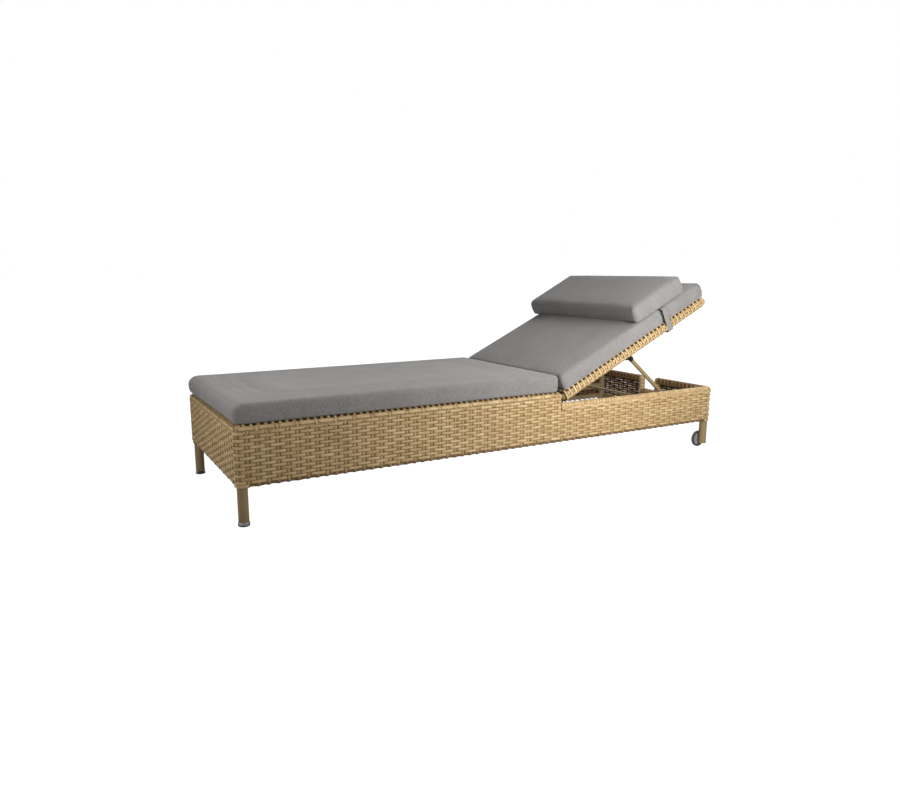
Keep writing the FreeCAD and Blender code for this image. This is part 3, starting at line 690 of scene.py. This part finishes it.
def binding(strands, start, end, radius, outward, pitch=BIND_PITCH, width=BIND, dips=(), slant=0.003,
            spine=None, crown=BIND_CROWN, inner=0.55, thick=0.0):
    """Strands bound side by side round a straight tube.

    outward is the direction that angles are measured from, turning towards up. dips are (angle, spread,
    depth) hollows in every second strand, darkened with painted shade. spine is the (angle, spread) that a
    lengthwise strand covers on every second strand and lies under on the others, which get painted shade
    there. inner is the painted shade of the side that faces into the box, and thick is how much more the
    binding stands out on its outer and upper side.
    """
    start, run, length = straight(start, end)
    outward = np.array(outward, float)
    up = np.cross(run, outward)
    if up[2] < 0:
        up = -up
    number = max(int(round(length / pitch)), 1)
    pitch = length / number
    places = (np.arange(number) + 0.5) * pitch
    odd = (np.arange(number) % 2 == 1)[:, None]
    reach = np.tile(radius + thick * smooth(0.55 + 0.75 * np.cos(AROUND - math.radians(30))), (number, 1))
    widths = np.full((number, len(AROUND)), width * pitch / BIND_PITCH)
    # painted shade on the side that faces into the box
    shades = np.tile(1 - (1 - inner) * smooth(0.35 - 0.9 * np.cos(AROUND)), (number, 1))
    for angle, spread, depth in dips:
        hollow = smooth(1.6 - 1.6 * degrees_from(angle) / spread)
        reach = reach - odd * hollow * depth + ~odd * hollow * depth * 0.7
        widths = widths * (1 + np.where(odd, 0.10, -0.08) * hollow)
        # painted shade in the hollows
        shades = shades * (1 - odd * hollow * min(depth * 400, 0.95))
    if spine:
        rise = smooth(1.5 - degrees_from(spine[0]) / spine[1])
        reach = reach + np.where(odd, -0.0002, 0.0022) * rise
        # painted shade on the strands that the lengthwise strand lies over
        shades = shades * (1 - 0.5 * odd * rise)
    reach = reach + strands.random.uniform(-0.0001, 0.0001, (number, 1))
    facing = outward * np.cos(AROUND)[:, None] + up * np.sin(AROUND)[:, None]
    shift = slant * np.sin(AROUND)[None, :, None] * run
    line = start + places[:, None, None] * run + shift + reach[:, :, None] * facing
    strands.add(line, run, facing, widths, BIND_THICKNESS, crown, closed=True, shade=shades)


def lengthwise(strands, start, end, radius, direction, across, width=0.0085):
    """The strand that runs along a bound tube, over one strand and under the next."""
    start, run, length = straight(start, end)
    number = max(int(round(length / BIND_PITCH)), 1)
    pitch = length / number
    places = np.arange(0.25, number, 0.25) * pitch
    wave = -np.cos(math.pi * (places / pitch - 0.5))
    line = start + places[:, None] * run + (radius + 0.0011 * wave)[:, None] * direction
    widths = width * (0.86 + 0.14 * wave)
    # painted shade where the strand goes under
    strands.add(line, across, direction, widths, BIND_THICKNESS, SPINE_CROWN,
                shade=1 - 0.75 * smooth(0.5 - wave))


def corner_binding(strands, corner, radius, first, second, number=3):
    """Strands fanned round the outside of a square corner between two tubes that point away from it."""
    corner, first, second = np.array(corner), np.array(first, float), np.array(second, float)
    axis = np.cross(first, second)
    for turn in (np.arange(number) + 0.5) / number * math.pi / 2:
        outward = first * math.cos(turn) + second * math.sin(turn)
        run = -first * math.sin(turn) + second * math.cos(turn)
        facing = outward * np.cos(AROUND)[:, None] + axis * np.sin(AROUND)[:, None]
        widths = 0.0096 * (0.62 + 0.38 * np.cos(AROUND)) + 0.0008
        strands.add(corner + radius * facing, run, facing, widths, BIND_THICKNESS, BIND_CROWN, closed=True)


def rims():
    """Bindings of the seat rim, the lower rim and the finger notch."""
    strands = Strands(11)
    radius = RIM_R + BOUND
    start_x, end_x = FOOT_RAIL_X + SEAT_CORNER * 0.22, STEP_X + 0.0015
    foot_y = RIM_Y - SEAT_CORNER * 0.22
    for side in (-1, 1):
        binding(strands, (start_x, side * RIM_Y, RIM_Z), (end_x, side * RIM_Y, RIM_Z), radius, (0, side, 0),
                dips=NOTCHES)
    binding(strands, (FOOT_RAIL_X, -foot_y, RIM_Z), (FOOT_RAIL_X, foot_y, RIM_Z), radius, (-1, 0, 0),
            dips=NOTCHES)
    for side in (-1, 1):
        corner_binding(strands, (FOOT_RAIL_X, side * RIM_Y, RIM_Z), radius, (-1, 0, 0), (0, side, 0))
    strands.build("rim_binding", "base", "woven_strand", ["rim_wraps"])

    strands = Strands(12)
    radius = REAR_R + BOUND
    for side in (-1, 1):
        start, end = (STEP_X + 0.002, side * REAR_Y, REAR_Z), (HEAD_RAIL_X - 0.004, side * REAR_Y, REAR_Z)
        binding(strands, start, end, radius, (0, side, 0), pitch=REAR_PITCH, width=REAR_BIND,
                dips=REAR_NOTCHES, slant=0.004, crown=0.0004)
        start = (HEAD_RAIL_X, side * (REAR_Y - 0.004), REAR_Z)
        end = (HEAD_RAIL_X, side * (NOTCH_Y + 0.003), REAR_Z)
        binding(strands, start, end, radius, (1, 0, 0), dips=REAR_NOTCHES, slant=0.004, crown=0.0014,
                inner=0.40)
        corner_binding(strands, (HEAD_RAIL_X, side * REAR_Y, REAR_Z), radius, (1, 0, 0), (0, side, 0))
    strands.build("rear_rim_binding", "base", "woven_strand", ["rear_wraps"])

    strands = Strands(13)
    for side in (-1, 1):
        low, high = (HEAD_RAIL_X, side * NOTCH_Y, NOTCH_Z), (HEAD_RAIL_X, side * NOTCH_Y, REAR_Z)
        binding(strands, (*low[:2], NOTCH_Z + 0.003), (*high[:2], REAR_Z - 0.003), radius, (0, -side, 0))
        corner_binding(strands, high, radius, (0, -side, 0), (0, 0, 1))
        corner_binding(strands, low, radius, (0, side, 0), (0, 0, -1))
    binding(strands, (HEAD_RAIL_X, 0.003 - NOTCH_Y, NOTCH_Z), (HEAD_RAIL_X, NOTCH_Y - 0.003, NOTCH_Z), radius,
            (1, 0, 0))
    strands.build("notch_binding", "base", "woven_strand", ["notch_wraps"])


rims()


# ---- the woven decks ----
DECK_STATIONS = np.array([-0.8, -0.6, -0.3, 0, 0.3, 0.6, 0.8, 1.0])


def deck(name, body, replaced, matrix=BASE, seed=31):
    """A woven panel under a cushion: strands across its width over and under lengthwise ones."""
    low, high = box_in(replaced, matrix)
    middle = (low[2] + high[2]) / 2
    strands = Strands(seed)
    number = int((high[1] - low[1]) / DECK_PITCH)
    edge = (high[1] - low[1] - number * DECK_PITCH) / 2
    rows = int((high[0] - low[0]) / DECK_ROW)
    for row in range(rows):
        x = low[0] + (row + 0.5) * (high[0] - low[0]) / rows
        tops = np.array([strand for strand in range(-1, number + 1) if (strand + row) % 2 == 0])
        lengths = ((tops[:, None] + 0.5 + DECK_STATIONS) * DECK_PITCH).ravel()
        keep = (lengths > -edge) & (lengths < number * DECK_PITCH + edge)
        lift, narrow, shade = strand_shape(np.tile(np.abs(DECK_STATIONS), len(tops))[keep])
        y = low[1] + edge + lengths[keep]
        line = np.column_stack([np.full(len(y), x), y, middle + lift * 0.55])
        strands.add(line, (1, 0, 0), UP, 0.0102 * narrow, THIN, 0.0004, shade=shade)
    line = np.empty((number, 12, 3))
    line[:, :, 0] = np.linspace(low[0], high[0], 12)
    line[:, :, 1] = (low[1] + edge + (np.arange(number) + 0.5) * DECK_PITCH)[:, None]
    line[:, :, 2] = middle
    strands.add(line, (0, 1, 0), UP, STAKE, 0.0009, 0.0003, shade=STAKE_SHADE)
    strands.build(name, body, "woven_strand", [replaced], matrix)


deck("seat_deck_strands", "base", "seat_deck_weave")
deck("back_deck_strands", "backrest", "back_weave", BACK, seed=32)


# ---- the backrest's binding ----
def back_binding():
    """Bindings of the backrest rails and top rail, with the strand that runs along their outer face."""
    top_low, top_high = box_in("back_top_rail", BACK)
    top_x = (top_low[0] + top_high[0]) / 2
    top_y = top_high[1] - RIM_R
    radius = RIM_R + BOUND
    level, lift = math.cos(math.radians(BACK_SPINE[0])), math.sin(math.radians(BACK_SPINE[0]))
    strands = Strands(21)

    def bound_rail(start, end, outward):
        outward = np.array(outward, float)
        binding(strands, start, end, radius, outward, dips=BACK_NOTCHES, spine=BACK_SPINE, slant=0.0035,
                inner=0.8, thick=BACK_THICK)
        lengthwise(strands, start, end, radius + BACK_THICK + 0.0012, outward * level + UP * lift,
                   UP * level - outward * lift)

    for side in (-1, 1):
        bound_rail((-0.004, side * top_y, 0), (top_x - 0.004, side * top_y, 0), (0, side, 0))
        corner_binding(strands, (top_x, side * top_y, 0), radius, (1, 0, 0), (0, side, 0))
    bound_rail((top_x, 0.004 - top_y, 0), (top_x, top_y - 0.004, 0), (1, 0, 0))
    strands.build("back_binding", "backrest", "woven_strand", ["back_wraps"], BACK)


back_binding()


# ---- cushions ----
def box_grid(size, reach, cell):
    """Points on a box's surface, closer together round its edges, and the faces between them."""
    rounded = 1 - np.cos(np.linspace(0, math.pi / 2, 6)[1:-1])
    levels = []
    for length, near, far in zip(size, *reach):
        steps = max(int(round((length - near - far) / cell)), 2)
        inner = np.linspace(near, length - far, steps + 1)
        levels.append(np.concatenate([[0], rounded * near, inner, length - far * rounded[::-1], [length]]))
    counts = [len(values) for values in levels]
    faces = []
    for axis in range(3):
        u, v = [other for other in range(3) if other != axis]
        for end in (0, counts[axis] - 1):
            grid = np.zeros((counts[u], counts[v], 3), int)
            grid[..., axis] = end
            grid[..., u], grid[..., v] = np.meshgrid(range(counts[u]), range(counts[v]), indexing="ij")
            quads = np.stack([grid[:-1, :-1], grid[1:, :-1], grid[1:, 1:], grid[:-1, 1:]], 2)
            forward = (axis != 1) == (end > 0)
            faces.append((quads if forward else quads[:, :, ::-1]).reshape(-1, 4, 3))
    corners, places = np.unique(np.concatenate(faces).reshape(-1, 3), axis=0, return_inverse=True)
    spots = np.stack([levels[axis][corners[:, axis]] for axis in range(3)], -1)
    return spots, places.reshape(-1, 4)


def cushion(name, body, replaced, matrix, grow, crown, cap, rise=0.0, soft=0.013, bulge=(0.004, 0.004),
            skew=0.0, cell=0.012, radius=0.013, low_radius=0.008):
    """A boxed foam cushion in its cover: a rounded crowned form, swelled a little by a cloth simulation.

    grow is how far it stands past the two corners of its CAD solid, crown how much thicker its middle is,
    cap how far the simulation may move a point, and rise how much thicker its far end is. soft is the radius
    of its near end's upper edge, bulge how far the near end and the other sides curve out, and skew how far
    its near end is out of square.
    """
    low, high = box_in(replaced, matrix)
    low, high = low - np.array(grow[0]), high + np.array(grow[1])
    size = high - low
    reach = np.array([[soft, radius, low_radius], [radius, radius, radius]])
    spots, faces = box_grid(size, reach, cell)
    inner = np.clip(spots, reach[0], size - reach[1])
    away = spots - inner
    away = away / np.where(away < 0, reach[0], reach[1])
    away /= np.maximum(np.linalg.norm(away, axis=1), 1e-9)[:, None]
    # the near end's upper edge is rounded more than the others
    near_share = np.minimum(away[:, 0], 0) ** 2 / np.maximum(away[:, 0] ** 2 + away[:, 1] ** 2, 1e-9)
    top = size[2] - radius - (soft - radius) * near_share
    height = low_radius + (inner[:, 2] - low_radius) * (top - low_radius) / (size[2] - radius - low_radius)
    height = height + away[:, 2] * np.where(away[:, 2] < 0, low_radius, size[2] - top)
    spots = inner + away * np.where(away < 0, reach[0], reach[1])
    spots[:, 2] = height
    curve = 1 - (2 * height / size[2] - 1) ** 2
    spots[:, :2] += away[:, :2] * (curve * (bulge[1] + (bulge[0] - bulge[1]) * near_share))[:, None]
    across = 2 * spots / size - 1
    crowned = np.clip(1 - np.abs(across[:, 0]) ** 8, 0, 1) * np.clip(1 - np.abs(across[:, 1]) ** 6, 0, 1)
    spots[:, 2] += (crown * crowned + rise * spots[:, 0] / size[0]) * smooth(height / size[2])
    spots[:, 0] -= skew * across[:, 1] * np.clip(1 - spots[:, 0] / size[0], 0, 1)
    mesh = make_mesh(name, spots + low, [faces], spots + low)
    piece = new_object(name, mesh, materials["cushion_fabric"])
    swell(piece, cap, low[2])
    seams(piece, low, high, radius)
    rounding = piece.modifiers.new("rounding", "SUBSURF")
    rounding.levels = 1
    rounding.render_levels = 1
    apply_modifiers(piece)
    piece.data.polygons.foreach_set("use_smooth", np.ones(len(piece.data.polygons), bool))
    piece.data.transform(matrix)
    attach(piece, body)
    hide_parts(replaced)
    return piece


def read_vectors(data, key):
    """The vectors of a mesh's points or of an attribute, as rows."""
    values = np.empty(len(data) * 3, np.float32)
    data.foreach_get(key, values)
    return values.reshape(-1, 3).astype(float)


def move_points(mesh, spots):
    mesh.vertices.foreach_set("co", spots.astype(np.float32).ravel())
    mesh.update()


def apply_modifiers(piece):
    """The evaluated mesh becomes the piece's own."""
    graph = bpy.context.evaluated_depsgraph_get()
    mesh = bpy.data.meshes.new_from_object(piece.evaluated_get(graph), preserve_all_data_layers=True,
                                           depsgraph=graph)
    piece.modifiers.clear()
    piece.data = mesh


def swell(piece, cap, floor):
    """Blows the cover up with a cloth simulation and keeps a capped share of the movement.

    The result is stretched back to its length and width, which the swelling pulls in.
    """
    before = read_vectors(piece.data.vertices, "co")
    cloth = piece.modifiers.new("cloth", "CLOTH")
    settings = cloth.settings
    settings.quality = 5
    settings.mass = 0.3
    settings.tension_stiffness = 25
    settings.compression_stiffness = 25
    settings.shear_stiffness = 12
    settings.bending_stiffness = 1.5
    settings.use_pressure = True
    settings.uniform_pressure_force = 4.0
    settings.effector_weights.gravity = 0
    cloth.collision_settings.use_collision = False
    scene = bpy.context.scene
    for number in range(1, 21):
        scene.frame_set(number)
    graph = bpy.context.evaluated_depsgraph_get()
    move = read_vectors(piece.evaluated_get(graph).data.vertices, "co") - before
    piece.modifiers.clear()
    scene.frame_set(1)
    length = np.maximum(np.linalg.norm(move, axis=1), 1e-9)
    move *= (cap * np.tanh(length / cap) / length)[:, None]
    # the underside stays on what it lies on
    move[:, 2] = np.where(before[:, 2] < floor + 0.004, np.maximum(move[:, 2], 0), move[:, 2])
    spots = before + move
    for axis in (0, 1):
        least, most = spots[:, axis].min(), spots[:, axis].max()
        start, end = before[:, axis].min(), before[:, axis].max()
        spots[:, axis] = start + (spots[:, axis] - least) * (end - start) / (most - least)
    move_points(piece.data, spots)


def seams(piece, low, high, radius):
    """Presses the two seams of the side band in a little."""
    marks = read_vectors(piece.data.attributes["strand"].data, "vector")
    spots = read_vectors(piece.data.vertices, "co")
    middle, size = (low + high) / 2, high - low
    on_side = (np.abs(marks - middle) / size)[:, :2].max(1) > 0.49
    seam = np.zeros(len(spots))
    for level in (low[2] + radius * 0.6, high[2] - radius * 0.6):
        seam = np.maximum(seam, np.exp(-((marks[:, 2] - level) / 0.0022) ** 2))
    inward = np.clip((middle - spots) / size * 2, -1, 1) ** 21
    inward[:, 2] = 0
    move_points(piece.data, spots + inward * (on_side * seam * 0.0012)[:, None])


seat = cushion("seat_pad", "base", "seat_cushion", BASE, ((0.0020, 0.001, 0.0015), (0.0085, 0.001, -0.001)),
               0.003, 0.005, soft=0.026, bulge=(0.006, 0.003), skew=0.003)
back = cushion("back_pad", "backrest", "back_cushion", BACK, ((0.002, 0.001, 0.0045), (0.002, 0.001, -0.001)),
               0.003, 0.005)
pillow = cushion("pillow", "headrest", "headrest_pillow", BACK, ((0.001, 0.001, 0.0), (0.004, 0.001, -0.001)),
                 0.005, 0.003, rise=0.008, cell=0.010, soft=0.016, radius=0.015, low_radius=0.010)


# ---- strap ----
def strap():
    """The flat band that holds the pillow, a closed loop round the backrest."""
    low, high = box_in("headrest_strap", BACK)
    cushion_high = box_in("back_cushion", BACK)[1]
    half = STRAP_THICKNESS / 2
    # it lies outside the rails' binding and the swelled cushion
    top, bottom = high[2] - half, low[2] + half - 0.0005
    rail_out = high[1] - half + 0.0035
    edge = max(cushion_high[1] + half + 0.0052, rail_out)
    corners = [(0, bottom), (rail_out, bottom), (rail_out, 0.006), (edge, 0.028), (edge, top), (-edge, top),
               (-edge, 0.028), (-rail_out, 0.006), (-rail_out, bottom), (0, bottom)]
    route = Route(corners, [0.005, 0.010, 0.014, 0.006, 0.006, 0.014, 0.010, 0.005])
    spots, out = route.at(np.linspace(0, route.length, 321)[:-1])
    line = np.column_stack([np.full(len(spots), (low[0] + high[0]) / 2), spots])
    facing = -np.column_stack([np.zeros(len(out)), out])
    strands = Strands(41)
    strands.add(line, (1, 0, 0), facing, high[0] - low[0], STRAP_THICKNESS, 0.0001, closed=True)
    strands.build("pillow_strap", "headrest", "strap_webbing", ["headrest_strap"], BACK)


strap()


# ---- camera, floor and light ----
FLOOR_REACH = 60.0


def lamp(name, kind, place, target, power, **settings):
    """A light that shines from a place towards a target."""
    light = bpy.data.lights.new(name, kind)
    light.energy = power
    for key, value in settings.items():
        setattr(light, key, value)
    piece = bpy.data.objects.new(name, light)
    bpy.context.scene.collection.objects.link(piece)
    piece.rotation_mode = "QUATERNION"
    piece.rotation_quaternion = (Vector(target) - Vector(place)).to_track_quat("-Z", "Y")
    if kind == "AREA":
        piece.location = place
        piece.visible_camera = False


def floor_material():
    """A white floor: for the camera it glows, save for a soft shadow under the lounger."""
    material, tree, shader = node_material("floor", (0.5, 0.5, 0.5), 0.9)
    glow = add_node(tree, "ShaderNodeEmission", {"Color": (1, 1, 1, 1), "Strength": 1.3})
    eye = add_node(tree, "ShaderNodeLightPath").outputs["Is Camera Ray"]
    place = add_node(tree, "ShaderNodeSeparateXYZ", {
        "Vector": add_node(tree, "ShaderNodeNewGeometry").outputs["Position"]}).outputs
    under = 1.0
    for axis, middle, half in ((0, 0.03, 0.90), (1, 0.225, 0.12)):
        away = math_node(tree, "ABSOLUTE", math_node(tree, "SUBTRACT", place[axis], middle))
        inside = map_range(tree, math_node(tree, "SUBTRACT", away, half), -0.05, 0.05, 1.0, 0.0)
        under = times(tree, under, inside)
    share = times(tree, eye, math_node(tree, "SUBTRACT", 0.82, times(tree, under, 0.80)))
    mix = add_node(tree, "ShaderNodeMixShader", {0: share, 1: shader.outputs[0], 2: glow.outputs[0]})
    tree.links.new(mix.outputs[0], tree.nodes["Material Output"].inputs["Surface"])
    return material


def studio():
    """The camera, a plain pale floor and soft light."""
    scene = bpy.context.scene
    camera = bpy.data.objects.new("camera", bpy.data.cameras.new("camera"))
    scene.collection.objects.link(camera)
    camera.location = (-1.4704, -2.4085, 0.7488)
    camera.rotation_euler = (math.radians(79.818), 0, math.radians(-29.764))
    camera.data.sensor_width = 36
    camera.data.lens = 28.746
    camera.data.clip_end = 200
    scene.camera = camera

    corners = np.array([(-1, -1, 0), (1, -1, 0), (1, 1, 0), (-1, 1, 0)]) * FLOOR_REACH
    mesh = make_mesh("floor", corners, [np.array([[0, 1, 2, 3]])])
    floor = new_object("floor", mesh, floor_material(), smooth_faces=False)

    # a white surround that gives the object almost no light
    world = bpy.data.worlds.new("studio")
    scene.world = world
    world.use_nodes = True
    tree = world.node_tree
    background = tree.nodes["Background"]
    background.inputs["Color"].default_value = (1, 1, 1, 1)
    eye = add_node(tree, "ShaderNodeLightPath").outputs["Is Camera Ray"]
    tree.links.new(map_range(tree, eye, 0.0, 1.0, 0.015, 1.0), background.inputs["Strength"])

    lamp("overhead", "SUN", (1.8, 1.9, 3.0), (0, 0, 0), 1.68, angle=math.radians(60))
    for name, place, target, size, power, spread in (
            ("side", (0.42, -1.35, 0.86), (0.42, -0.2, 0.46), (0.7, 0.7), 16.6, 180),
            ("fill", (-1.62, -0.25, 0.62), (-1.0, -0.05, 0.3), (0.9, 0.5), 2.7, 180),
            ("foot", (-1.15, 0.05, 1.65), (-0.6, 0, 0.35), (1.0, 1.0), 1.3, 110)):
        lamp(name, "AREA", place, target, power, shape="RECTANGLE", size=size[0], size_y=size[1],
             spread=math.radians(spread))
    scene.view_settings.view_transform = "Standard"
    scene.view_settings.look = "None"
    scene.view_settings.exposure = 0
    scene.view_settings.gamma = 1


studio()
